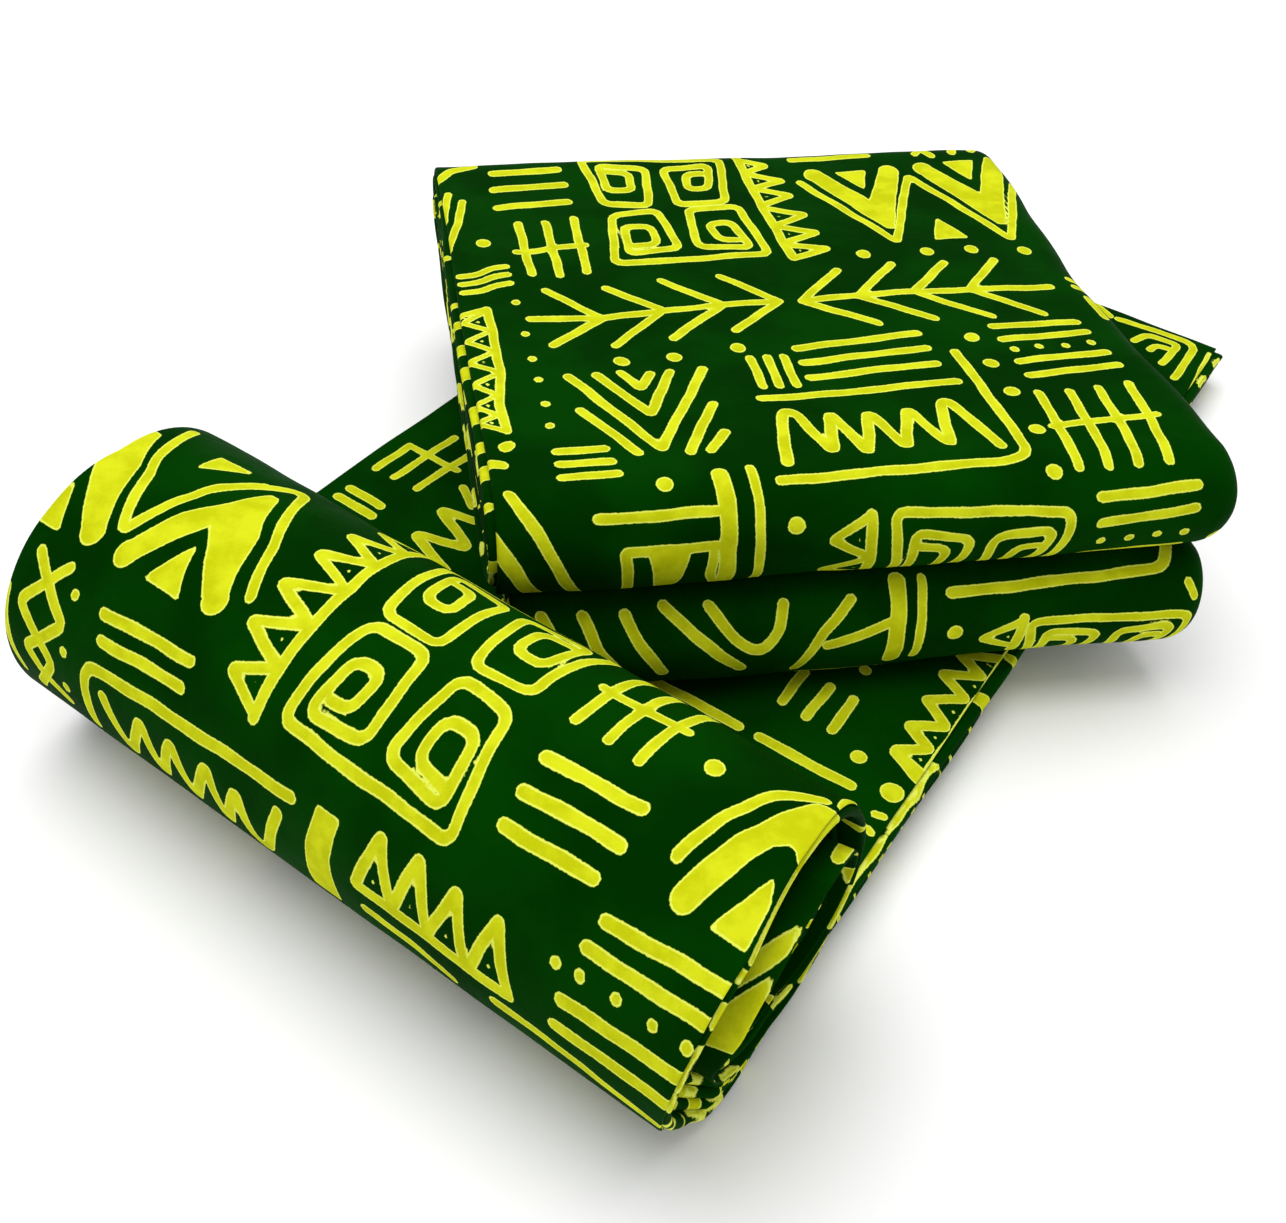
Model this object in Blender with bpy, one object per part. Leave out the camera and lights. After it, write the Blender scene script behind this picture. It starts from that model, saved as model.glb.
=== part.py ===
"""Three lengths of ankara wax-print cloth as a shop shows them: one folded into a long band and
rolled up from its front end, and two folded into flat bundles that are stacked across the band."""
import math

import bmesh
import bpy
import numpy as np

# Sizes in metres, angles in radians
GAP = 0.0004                      # clearance between two lengths that lie on each other
PILE_CENTRE = (0.1074, 0.1094)    # floor point that becomes the origin, from the stack's front left corner

# The band: a length folded in four, laid flat and rolled up from its front end
BAND_TURN = math.radians(49.9)    # its direction, from the stack's front edge
BAND_START = (0.0732, -0.1562)    # floor point under the middle of the roll, on the band's right edge
BAND_REACH = 0.491                # from the middle of the roll to the band's back end
BAND_THICK = 0.021
BAND_PLIES = 4
BAND_WIDTH_BACK = 0.279
BAND_WIDTH_ROLL = 0.291
PLY_NOTCH = 0.0034                # depth of the groove between two folded plies at an edge

# The roll
ROLL_THICK = 0.0160               # the band is pressed thinner where it is rolled
EYE_THICK = 0.0130                # and thinner again in the roll's eye
EYE_DROP = 0.0050                 # the band's inner end sinks this much onto the wrap below
ROLL_RADIUS = 0.0530              # of the centre line of the outer wrap
ROLL_FLAT = 0.0080                # straight run of each wrap, because the roll is pressed a little flat
ROLL_TURNS = 2.5
ROLL_SKEW = 0.090                 # the roll was wound askew: run along the band for each metre across
BACK_SKEW = 0.072                 # the same for the band's back end
WRAP_GAP = 0.0007

# How far each wrap's right and left edge has slid out of the roll's end
# columns: turn, right, left
WRAP_SLIDE = (
    (0.00, -0.001, 0.010),
    (0.10, -0.007, 0.008),
    (0.20, -0.002, 0.006),
    (0.30, 0.004, 0.003),
    (0.40, 0.008, -0.001),
    (0.50, 0.006, -0.005),
    (0.60, 0.005, -0.005),
    (0.85, 0.005, -0.005),
    (1.00, 0.003, -0.008),
    (1.20, 0.004, -0.010),
    (1.30, 0.011, -0.010),
    (1.40, 0.014, -0.010),
    (1.50, 0.014, -0.010),
    (1.60, 0.012, -0.010),
    (1.75, 0.008, -0.009),
    (2.00, 0.003, -0.008),
    (2.25, 0.006, -0.008),
    (2.50, 0.007, -0.006),
)

# The two bundles, from the floor up
# columns: name, front radius, back radius, depth, left end, right end, front edge, slip of the plies
BUNDLES = (
    ("lower_bundle", 0.0236, 0.0200, 0.297, -0.001, 0.282, -0.003, 0.07),
    ("upper_bundle", 0.0228, 0.0200, 0.300, 0.002, 0.285, 0.000, 0.13),
)
STACK_WIDTH = 0.290
STACK_DEPTH = 0.296
BUNDLE_PLY = 0.0034               # height of one folded ply on a bundle's left side
BUNDLE_NOTCH = 0.0030
BUNDLE_PLIES = 4
BACK_SHIFT = 0.011                # the stack's back end lies this much further left than its front
BACK_SWING = -0.002                # and this much further back on the left; below 0, on the right
FRONT_SWING = 0.010               # the front edge comes forward by this much at its left end
SIDE_WAIST = 0.008                # the right side is drawn in by this much halfway back
CORNER_TUCK = 0.002               # the front left corner gives way to the roll
CORNER_REACH = (0.090, 0.110)     # across and back, as far as that corner gives way
CORNER_RISE = (0.075, 0.045)      # it gives way fully up to this height, then less over the next

# Right end of a bundle, where the plies are folded shut: a full round fold over a softer one
# columns: inset from the outline, depth from the end
CLOSED_END = (
    (0.0000, 0.0110),
    (0.0008, 0.0070),
    (0.0024, 0.0036),
    (0.0048, 0.0010),
    (0.0074, 0.0000),
    (0.0092, 0.0014),
    (0.0102, 0.0044),
    (0.0114, 0.0022),
    (0.0132, 0.0016),
)

CLOTH_GREEN = (0.003, 0.052, 0.003, 1.0)
CLOTH_ROUGHNESS = 0.62

# Rows of faces
FLAT_STEPS = 14                   # along the flat band
WRAP_STEPS = 17                   # in the first half turn of the roll, two fewer in each next one
ACROSS = (0.0, 0.04, 0.14, 0.28, 0.42, 0.56, 0.70, 0.84, 0.96, 1.0)   # across the band, as shares
FRONT_STEPS = 8                   # in half of a bundle's front fold
BACK_STEPS = 5
TOP_STEPS = 8
BUNDLE_STEPS = 9


def ease(x):
    """Smooth step from 0 to 1."""
    x = np.clip(x, 0.0, 1.0)
    return x * x * (3.0 - 2.0 * x)


def clear_scene():
    for item in list(bpy.data.objects):
        bpy.data.objects.remove(item, do_unlink=True)


def cloth_material(name):
    material = bpy.data.materials.new(name)
    material.use_nodes = True
    shader = material.node_tree.nodes["Principled BSDF"]
    shader.inputs["Base Color"].default_value = CLOTH_GREEN
    shader.inputs["Roughness"].default_value = CLOTH_ROUGHNESS
    shader.inputs["Metallic"].default_value = 0.0
    material.diffuse_color = CLOTH_GREEN
    return material


def cloth_object(name, points, faces, collection):
    """One closed length of cloth, its origin on the floor under the pile's centre."""
    points = np.array(points) - (PILE_CENTRE[0], PILE_CENTRE[1], 0.0)
    mesh = bpy.data.meshes.new(name)
    mesh.from_pydata(points.tolist(), [], faces)
    shape = bmesh.new()
    shape.from_mesh(mesh)
    bmesh.ops.recalc_face_normals(shape, faces=shape.faces)
    shape.to_mesh(mesh)
    shape.free()
    mesh.materials.append(cloth_material(name + "_cotton"))
    item = bpy.data.objects.new(name, mesh)
    collection.objects.link(item)
    return item


# Band and roll
def wrap_thickness(turn):
    """Thickness of the band at a turn of the roll; 0 is where it leaves the floor."""
    pressed = (BAND_THICK - ROLL_THICK) * ease(turn / 0.45)
    return BAND_THICK - pressed - (ROLL_THICK - EYE_THICK) * ease((turn - 1.9) / 0.4)


def wrap_inset(turn):
    """How far the centre line has moved inwards, so that each wrap just clears the one before."""
    if turn <= 1.0:
        return turn * (0.5 * (BAND_THICK + ROLL_THICK) + WRAP_GAP)
    before = turn - 1.0
    return wrap_inset(before) + 0.5 * (wrap_thickness(before) + wrap_thickness(turn)) + WRAP_GAP


def band_line():
    """Centre line from the band's back end to the roll's eye: rows of along, up, thickness, turn."""
    half_flat = 0.5 * ROLL_FLAT
    centre_up = 0.5 * BAND_THICK + ROLL_RADIUS
    rows = []
    for along in np.linspace(BAND_REACH, -half_flat, FLAT_STEPS + 1)[:-1]:
        rows.append((along, 0.5 * BAND_THICK, BAND_THICK, 0.0))
    for half in range(int(round(2 * ROLL_TURNS))):
        side = -1.0 if half % 2 == 0 else 1.0
        steps = WRAP_STEPS - 2 * half
        for step in range(steps):
            turn = 0.5 * (half + step / steps)
            angle = math.pi * step / steps
            radius = ROLL_RADIUS - wrap_inset(turn)
            along = side * (half_flat + radius * math.sin(angle))
            rows.append((along, centre_up + side * radius * math.cos(angle), wrap_thickness(turn), turn))
        turn = 0.5 * (half + 1)
        radius = ROLL_RADIUS - wrap_inset(turn)
        rows.append((side * half_flat, centre_up - side * radius, wrap_thickness(turn), turn))
        rows.append((0.0, centre_up - side * radius, wrap_thickness(turn), turn))
    rows[-1] = (0.0, centre_up + radius - 0.5 * EYE_DROP, EYE_THICK, ROLL_TURNS)
    rows.append((0.9 * half_flat, centre_up + radius - EYE_DROP, EYE_THICK, ROLL_TURNS))
    return np.array(rows)


def ply_rows(plies, notch):
    """Rows of a folded edge from one face of the cloth to the other: level from -1 to 1, and depth."""
    rows = [(0.0, 0.55 * notch)]
    for ply in range(plies):
        rows.append((ply + 0.20, 0.25 * notch))
        rows.append((ply + 0.50, 0.0))
        rows.append((ply + 0.80, 0.25 * notch))
        rows.append((ply + 1.0, notch if ply + 1 < plies else 0.55 * notch))
    return [(2.0 * level / plies - 1.0, depth) for level, depth in rows]


def band_place(along, across, up):
    """Point of the band in the pile's frame."""
    cos, sin = math.cos(BAND_TURN), math.sin(BAND_TURN)
    return (BAND_START[0] + cos * along - sin * across, BAND_START[1] + sin * along + cos * across, up)


def band_solid():
    """The band's closed section, moved along its centre line; rows i along, j across, k through it."""
    line = band_line()
    steps = np.gradient(line[:, :2], axis=0)
    steps /= np.linalg.norm(steps, axis=1)[:, None]
    outer = np.column_stack((-steps[:, 1], steps[:, 0]))
    plies = ply_rows(BAND_PLIES, PLY_NOTCH)
    slide = np.array(WRAP_SLIDE)
    last_i, last_j, last_k = len(line) - 1, len(ACROSS) - 1, len(plies) - 1
    index, points = {}, []

    def corner(i, j, k):
        if (i, j, k) in index:
            return index[(i, j, k)]
        along, up, thick, turn = line[i]
        level, depth = plies[k]
        rolled = 1.0 - ease((along - 0.03) / (0.75 * BAND_REACH)) if turn == 0.0 else 1.0
        right = -np.interp(turn, slide[:, 0], slide[:, 1])
        left = BAND_WIDTH_BACK + (BAND_WIDTH_ROLL - BAND_WIDTH_BACK) * rolled
        left += np.interp(turn, slide[:, 0], slide[:, 2])
        across = right + (left - right) * ACROSS[j]
        across += {0: depth, last_j: -depth}.get(j, 0.0)
        place = line[i, :2] - outer[i] * 0.5 * thick * level
        place = place + steps[i] * {0: depth, last_i: -depth}.get(i, 0.0)
        skew = BACK_SKEW + (ROLL_SKEW - BACK_SKEW) * rolled
        points.append(band_place(place[0] + skew * across, across, place[1]))
        index[(i, j, k)] = len(points) - 1
        return index[(i, j, k)]

    faces = []

    def face(*spots):
        faces.append([corner(*spot) for spot in spots])

    for i in range(last_i):
        for j in range(last_j):
            for k in (0, last_k):
                face((i, j, k), (i + 1, j, k), (i + 1, j + 1, k), (i, j + 1, k))
        for k in range(last_k):
            for j in (0, last_j):
                face((i, j, k), (i, j, k + 1), (i + 1, j, k + 1), (i + 1, j, k))
    for j in range(last_j):
        for k in range(last_k):
            for i in (0, last_i):
                face((i, j, k), (i, j + 1, k), (i, j + 1, k + 1), (i, j, k + 1))
    return points, faces


# Bundles
def fold_outline(front, back, depth, inset):
    """Side outline of a bundle from the tip of its front fold over the top and back underneath."""
    reach = math.hypot(depth - front - back, front - back)
    open_angle = math.acos((front - back) / reach)
    lean = -math.asin((front - back) / reach)
    half = []
    for angle in np.linspace(math.pi, open_angle, FRONT_STEPS + 1):
        half.append(((front - inset) * math.cos(angle), (front - inset) * math.sin(angle)))
    tangent = np.array(half[-1])
    for angle in np.linspace(open_angle, 0.0, BACK_STEPS + 1):
        half.append((reach + (back - inset) * math.cos(angle), (back - inset) * math.sin(angle)))
    half = np.array(half)
    far = half[FRONT_STEPS + 1]
    between = [tangent + (far - tangent) * share for share in np.linspace(0, 1, TOP_STEPS + 1)[1:-1]]
    half = np.vstack((half[:FRONT_STEPS + 1], between, half[FRONT_STEPS + 1:]))
    loop = np.vstack((half, half[-2:0:-1] * (1.0, -1.0)))
    turned = np.array(((math.cos(lean), math.sin(lean)), (-math.sin(lean), math.cos(lean))))
    return loop @ turned + front


def top_plane(front, back, depth):
    """Slope of a bundle's top, and its height above the front edge's foot."""
    reach = math.hypot(depth - front - back, front - back)
    slope = -2.0 * math.asin((front - back) / reach)
    height = front * (1.0 + math.cos(slope)) - front * (1.0 - math.sin(slope)) * math.tan(slope)
    return slope, height


def open_end():
    """Rows of a bundle's open side, outline first: inset and depth."""
    rows = []
    for level, depth in ply_rows(BUNDLE_PLIES, BUNDLE_NOTCH)[:-1]:
        rows.append(((level + 1.0) * 0.5 * BUNDLE_PLIES * BUNDLE_PLY, depth))
    return rows


def settle(x, y, z):
    """A point of the stack as it lies: the back end swings round, the front left corner gives way."""
    side = 2.0 * x / STACK_WIDTH - 1.0
    back = y / STACK_DEPTH
    corner = (1.0 - ease(x / CORNER_REACH[0])) * (1.0 - ease(y / CORNER_REACH[1]))
    corner *= 1.0 - 0.8 * ease((z - CORNER_RISE[0]) / CORNER_RISE[1])
    waist = SIDE_WAIST * (x / STACK_WIDTH) * math.sin(math.pi * min(max(back, 0.0), 1.0))
    front = FRONT_SWING * (1.0 - x / STACK_WIDTH) * (1.0 - back)
    y = y - front - BACK_SWING * side * back + CORNER_TUCK * corner
    return x - BACK_SHIFT * back - waist, y, z


def bundle_solid(front, back, depth, left, right, edge, slip, lift, tilt):
    """A flat fold: round folds in front, at the back and on the right, and open plies on the left."""
    rings = [(inset, left + deep, 1.0) for inset, deep in open_end()[::-1]]
    for across in np.linspace(left, right, BUNDLE_STEPS + 1)[1:-1]:
        rings.append((0.0, across, 0.0))
    rings += [(inset, right - deep, 0.0) for inset, deep in CLOSED_END]
    cos, sin = math.cos(tilt), math.sin(tilt)
    points, faces = [], []
    for inset, across, open_side in rings:
        top = 2.0 * front
        for y, z in fold_outline(front, back, depth, inset):
            x = across - open_side * slip * (top + (y / depth) * 2.0 * (back - front) - z)
            points.append(settle(x, edge + cos * y - sin * z, lift + sin * y + cos * z))
    count = len(points) // len(rings)
    for ring in range(len(rings) - 1):
        here, there = ring * count, (ring + 1) * count
        for spot in range(count):
            after = (spot + 1) % count
            faces.append([here + spot, here + after, there + after, there + spot])
    for start in (0, (len(rings) - 1) * count):
        faces.append([start, start + 1, start + count - 1])
        for spot in range(1, count // 2 - 1):
            faces.append([start + spot, start + spot + 1, start + count - spot - 1, start + count - spot])
        middle = start + count // 2
        faces.append([middle - 1, middle, middle + 1])
    return points, faces


def main():
    clear_scene()
    collection = bpy.data.collections.new("folded_ankara_cloth")
    bpy.context.scene.collection.children.link(collection)
    points, faces = band_solid()
    cloth_object("rolled_band", points, faces, collection)
    lift, tilt, under = BAND_THICK + GAP, 0.0, None
    for name, front, back, depth, left, right, edge, slip in BUNDLES:
        if under:
            tilt, height = top_plane(*under[:3])
            lift += height + (edge - under[3]) * math.tan(tilt) + GAP
        points, faces = bundle_solid(front, back, depth, left, right, edge, slip, lift, tilt)
        cloth_object(name, points, faces, collection)
        under = (front, back, depth, edge)


main()
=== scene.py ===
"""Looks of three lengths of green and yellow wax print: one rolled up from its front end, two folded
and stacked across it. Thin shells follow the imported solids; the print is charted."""
import math

import bpy
import numpy as np
from mathutils import Matrix, Vector


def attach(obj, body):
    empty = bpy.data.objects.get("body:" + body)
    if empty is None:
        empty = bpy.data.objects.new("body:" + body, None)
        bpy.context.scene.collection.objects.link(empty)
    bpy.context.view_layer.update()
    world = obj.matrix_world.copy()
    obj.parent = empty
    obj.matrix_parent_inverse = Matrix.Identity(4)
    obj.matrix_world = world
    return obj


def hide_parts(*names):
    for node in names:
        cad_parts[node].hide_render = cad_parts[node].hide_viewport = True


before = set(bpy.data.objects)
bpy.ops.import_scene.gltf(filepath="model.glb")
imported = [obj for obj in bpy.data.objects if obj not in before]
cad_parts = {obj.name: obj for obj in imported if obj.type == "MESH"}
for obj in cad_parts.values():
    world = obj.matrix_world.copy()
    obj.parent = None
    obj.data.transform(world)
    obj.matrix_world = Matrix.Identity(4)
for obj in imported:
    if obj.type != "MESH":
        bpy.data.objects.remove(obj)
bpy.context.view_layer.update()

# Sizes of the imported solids, in metres
CENTRE = np.array((0.1074, 0.1094))
GAP = 0.0004
BAND_TURN = math.radians(49.9)
BAND_START = (0.0732, -0.1562)
BAND_REACH = 0.491
BAND_THICK = 0.021
BAND_WIDTH_BACK = 0.279
BAND_WIDTH_ROLL = 0.291
ROLL_THICK = 0.0160
EYE_THICK = 0.0130
ROLL_RADIUS = 0.0530
ROLL_FLAT = 0.0080
ROLL_TURNS = 2.5
ROLL_SKEW = 0.090
BACK_SKEW = 0.072
WRAP_GAP = 0.0007
PRESSED_OVER = 0.45             # turns in which the band is pressed to the roll's thickness
EYE_FROM, EYE_OVER = 1.9, 0.4   # where the eye's thinner wraps start, and in how many turns
NARROWS_FROM, NARROWS_OVER = 0.03, 0.75 * BAND_REACH     # the band's flat part, from the roll to its back end
# How far each wrap slides out of the roll; columns: turn, right, left
WRAP_SLIDE = np.array((
    (0.00, -0.001, 0.010), (0.10, -0.007, 0.008), (0.20, -0.002, 0.006), (0.30, 0.004, 0.003),
    (0.40, 0.008, -0.001), (0.50, 0.006, -0.005), (0.60, 0.005, -0.005), (0.85, 0.005, -0.005),
    (1.00, 0.003, -0.008), (1.20, 0.004, -0.010), (1.30, 0.011, -0.010), (1.40, 0.014, -0.010),
    (1.50, 0.014, -0.010), (1.60, 0.012, -0.010), (1.75, 0.008, -0.009), (2.00, 0.003, -0.008),
    (2.25, 0.006, -0.008), (2.50, 0.007, -0.006),
))
# Columns: front radius, back radius, depth, right end, front edge
BUNDLES = {
    "lower_bundle": (0.0236, 0.0200, 0.297, 0.282, -0.003),
    "upper_bundle": (0.0228, 0.0200, 0.300, 0.285, 0.000),
}
STACK_WIDTH = 0.290
STACK_DEPTH = 0.296
BACK_SHIFT = 0.011
BACK_SWING = -0.002
FRONT_SWING = 0.010
SIDE_WAIST = 0.008
CORNER_TUCK = 0.002
CORNER_REACH = (0.090, 0.110)
CORNER_RISE = (0.075, 0.045)
CORNER_FADE = 0.8


def ease(x):
    x = np.clip(x, 0.0, 1.0)
    return x * x * (3.0 - 2.0 * x)


def columns_at(place, places, table):
    """Each column of a table, read between its rows."""
    return [np.interp(place, places, table[:, i]) for i in range(table.shape[1])]


def outline(front, back, depth, count=1200):
    """Side outline of a bundle: places along it, their points and outward normals, and its length.

    It runs from the tip of the back fold over the top, round the front fold and back underneath."""
    reach = math.hypot(depth - front - back, front - back)
    opening = math.acos((front - back) / reach)
    lean = -math.asin((front - back) / reach)
    level = math.sqrt(reach ** 2 - (front - back) ** 2)
    lengths = [back * opening, level, front * 2 * (math.pi - opening), level, back * opening]
    stops = np.cumsum([0.0] + lengths)
    places = np.linspace(0, stops[-1], count)
    closing = 2 * math.pi - opening
    angle = np.interp(places, stops, (0.0, opening, opening, closing, closing, 2 * math.pi))
    middle = np.interp(places, stops, (reach, reach, 0.0, 0.0, reach, reach))
    radius = np.interp(places, stops, (back, back, front, front, back, back))
    normals = np.column_stack((np.cos(angle), np.sin(angle)))
    points = np.column_stack((middle, 0.0 * middle)) + normals * radius[:, None]
    c, s = math.cos(lean), math.sin(lean)
    turn = np.array(((c, s), (-s, c)))
    return places, points @ turn + front, normals @ turn, stops[-1]


def top_plane(front, back, depth):
    """Slope of a bundle's top, and its height over the front edge."""
    reach = math.hypot(depth - front - back, front - back)
    slope = -2.0 * math.asin((front - back) / reach)
    height = front * (1.0 + math.cos(slope)) - front * (1.0 - math.sin(slope)) * math.tan(slope)
    return slope, height


def seats():
    """Height and slope at which each bundle lies on what is under it."""
    lift, tilt, under, out = BAND_THICK + GAP, 0.0, None, {}
    for name, (front, back, depth, _, edge) in BUNDLES.items():
        if under:
            tilt, height = top_plane(*under[:3])
            lift += height + (edge - under[3]) * math.tan(tilt) + GAP
        out[name] = (lift, tilt)
        under = (front, back, depth, edge)
    return out


def settle(x, y, z):
    """The stack isn't quite square: its ends swing, its side is waisted and its front corner is tucked."""
    side = 2.0 * x / STACK_WIDTH - 1.0
    back = y / STACK_DEPTH
    corner = (1.0 - ease(x / CORNER_REACH[0])) * (1.0 - ease(y / CORNER_REACH[1]))
    corner = corner * (1.0 - CORNER_FADE * ease((z - CORNER_RISE[0]) / CORNER_RISE[1]))
    waist = SIDE_WAIST * (x / STACK_WIDTH) * np.sin(np.pi * np.clip(back, 0.0, 1.0))
    front = FRONT_SWING * (1.0 - x / STACK_WIDTH) * (1.0 - back)
    y = y - front - BACK_SWING * side * back + CORNER_TUCK * corner
    return np.stack((x - BACK_SHIFT * back - waist - CENTRE[0], y - CENTRE[1], z), -1)


def bundle_point(name, across, t, out):
    """A place on a bundle: across from its left end, t along its outline, out from its surface."""
    front, back, depth, _, edge = BUNDLES[name]
    lift, tilt = seats()[name]
    places, points, normals, _ = outline(front, back, depth)
    y, z = (here + out * away
            for here, away in zip(columns_at(t, places, points), columns_at(t, places, normals)))
    c, s = math.cos(tilt), math.sin(tilt)
    return settle(across, edge + c * y - s * z, lift + s * y + c * z)


def wrap_thickness(turn):
    pressed = (BAND_THICK - ROLL_THICK) * ease(turn / PRESSED_OVER)
    return BAND_THICK - pressed - (ROLL_THICK - EYE_THICK) * ease((turn - EYE_FROM) / EYE_OVER)


def wrap_inset(turn):
    """How far in from the outer wrap's centre line the wrap at a turn lies."""
    if turn <= 1.0:
        return turn * (0.5 * (BAND_THICK + ROLL_THICK) + WRAP_GAP)
    before = turn - 1.0
    return wrap_inset(before) + 0.5 * (wrap_thickness(before) + wrap_thickness(turn)) + WRAP_GAP


def band_line(steps=90, flat=200, level_steps=11):
    """The band's centre line from its back end to the roll's eye: rows of along, up, thickness, turn."""
    half_flat = 0.5 * ROLL_FLAT
    centre = 0.5 * BAND_THICK + ROLL_RADIUS
    laid = np.linspace(BAND_REACH, -half_flat, flat + 1)[:-1]
    rows = [(along, 0.5 * BAND_THICK, BAND_THICK, 0.0) for along in laid]
    for half in range(int(round(2 * ROLL_TURNS))):
        side = -1.0 if half % 2 == 0 else 1.0
        for step in range(steps):
            turn = 0.5 * (half + step / steps)
            angle = math.pi * step / steps
            radius = ROLL_RADIUS - wrap_inset(turn)
            rows.append((side * (half_flat + radius * math.sin(angle)),
                         centre + side * radius * math.cos(angle), wrap_thickness(turn), turn))
        turn = 0.5 * (half + 1)
        radius = ROLL_RADIUS - wrap_inset(turn)
        for share in np.linspace(0, 1, level_steps + 1)[:-1]:
            rows.append((side * half_flat * (1 - 2 * share), centre - side * radius,
                         wrap_thickness(turn), turn))
    return np.array(rows)


def outward(line):
    """The directions square to a line, on its right."""
    ahead = np.gradient(line, axis=0)
    ahead /= np.linalg.norm(ahead, axis=1)[:, None]
    return np.column_stack((-ahead[:, 1], ahead[:, 0]))


LINE = band_line()
RUN = np.concatenate(([0.0], np.cumsum(np.linalg.norm(np.diff(LINE[:, :2], axis=0), axis=1))))
OUT = outward(LINE[:, :2])


def band_point(run, share, level, extra=0.0):
    """run along the centre line from the back end, share across from the right edge, level from -1 to 1."""
    along, up, thick, turn = columns_at(run, RUN, LINE)
    ox, oz = columns_at(run, RUN, OUT)
    rolled = np.where(turn <= 0.0, 1.0 - ease((along - NARROWS_FROM) / NARROWS_OVER), 1.0)
    _, right_out, left_out = columns_at(turn, WRAP_SLIDE[:, 0], WRAP_SLIDE)
    left = BAND_WIDTH_BACK + (BAND_WIDTH_ROLL - BAND_WIDTH_BACK) * rolled + left_out
    across = -right_out + (left + right_out) * share
    out = 0.5 * thick * -level + extra
    a = along + ox * out + (BACK_SKEW + (ROLL_SKEW - BACK_SKEW) * rolled) * across
    c, s = math.cos(BAND_TURN), math.sin(BAND_TURN)
    x, y = BAND_START[0] + c * a - s * across, BAND_START[1] + s * a + c * across
    return np.stack((x - CENTRE[0], y - CENTRE[1], up + oz * out), -1)

# The print: signs charted in millimetres on each length of cloth, x across from one edge, y along the cloth.
# A shape is (kind, points, half width); a stroke's ends are round, and a patch is filled.
MM = 1000.0
LINE_WIDTH = 4.3
THIN_LINE = 4.1
DOT = 3.3
SMALL_DOT = 2.0
FAR = 9.0               # distance that counts as no sign near
ROUND_SHARES = (0.0, 0.3, 0.7, 1.0)     # where a round bend has its corners
RIM_SIGNS_FROM = 140    # from here on the upper bundle's plies carry charted marks instead of chance ones


def rounded(points, reach):
    """The points of a line with its bends cut round."""
    points = np.array(points, float)
    rows = [points[0]]
    for before, bend, after in zip(points, points[1:], points[2:]):
        back, ahead = before - bend, after - bend
        start = bend + back * min(reach / np.hypot(*back), 0.5)
        stop = bend + ahead * min(reach / np.hypot(*ahead), 0.5)
        for share in ROUND_SHARES:
            rows.append((1 - share) ** 2 * start + 2 * share * (1 - share) * bend + share ** 2 * stop)
    rows.append(points[-1])
    return np.array(rows)


def stroke(*points, width=LINE_WIDTH, bend=3.0):
    return [("stroke", rounded(points, bend), 0.5 * width)]


def patch(*points, soft=0.7):
    return [("patch", np.array(points, float), soft)]


def dots(*points, radius=DOT):
    return [("stroke", np.array((spot, spot), float), radius) for spot in points]


def gather(*groups):
    """All groups' signs in one list."""
    return [shape for group in groups for shape in group]


def bars(*rows, width=LINE_WIDTH):
    """Straight strokes, each row x, y, x, y."""
    return gather(*(stroke((x0, y0), (x1, y1), width=width) for x0, y0, x1, y1 in rows))


def comb(tops, feet, rail):
    """Side by side strokes crossed by one rail."""
    return gather(*(stroke(top, foot, width=THIN_LINE) for top, foot in zip(tops, feet)),
                  stroke(*rail, width=3.8))


def arrow(shaft, joints, barbs):
    """A shaft with pairs of barbs that meet on it."""
    return gather(stroke(*shaft, width=THIN_LINE),
                  *(stroke(one, joint, other, width=THIN_LINE, bend=1.5)
                    for joint, (one, other) in zip(joints, barbs)))


def teeth(spine, tips, width=3.9, eye=0.8, back=4.6, deep=0.71):
    """Outlined triangles on a spine, each with a dot inside; a tip is x, y and half of its base."""
    shapes = stroke(*spine, width=back)
    spine = np.array(spine, float)
    along = int(abs(spine[-1, 1] - spine[0, 1]) > abs(spine[-1, 0] - spine[0, 0]))
    spine = spine[np.argsort(spine[:, along])]
    for *tip, half in tips:
        feet = np.array((tip, tip), float)
        feet[:, along] += (-half, half)
        feet[:, 1 - along] = np.interp(feet[:, along], spine[:, along], spine[:, 1 - along])
        shapes += stroke(feet[0], tip, feet[1], width=width, bend=1.8)
        shapes += dots((1.0 - deep) * np.array(tip) + deep * feet.mean(0), radius=eye)
    return shapes


# Two squared spirals joined by a frame; across from 0 to 1, and from the open side 0 to the framed side 1
PAIRED_SQUARES = np.array((
    (0.15, 0.70), (0.31, 0.66), (0.30, 0.30), (0.13, 0.31), (0.11, 0.83), (0.44, 0.74), (0.38, 0.00),
    (0.08, 0.06), (0.00, 1.00), (0.99, 0.92), (0.91, 0.00), (0.58, 0.00), (0.56, 0.74), (0.89, 0.79),
    (0.83, 0.29), (0.68, 0.30), (0.71, 0.62), (0.82, 0.63),
))


def squares(left, right, open_side, framed_side):
    places = (left, open_side) + PAIRED_SQUARES * (right - left, framed_side - open_side)
    return stroke(*places, width=THIN_LINE, bend=4.5)


def shifted(shapes, across, along):
    """The same signs elsewhere on the cloth."""
    return [(kind, points + (across, along), half) for kind, points, half in shapes]


def heavy_v(one, other, notch, foot, radius):
    """A heavy V: two broad arms with round tops that meet in a pointed foot."""
    (ax, ay), (bx, by), soft, half_foot = one, other, 0.9, 1.6
    rim = radius - soft
    body = patch((ax - rim, ay), (ax + rim, ay - 1.0), notch, (bx - rim, by - 1.0), (bx + rim, by),
                 (foot[0] + half_foot, foot[1]), (foot[0] - half_foot, foot[1]), soft=soft)
    return body + dots(one, other, radius=radius)


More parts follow.
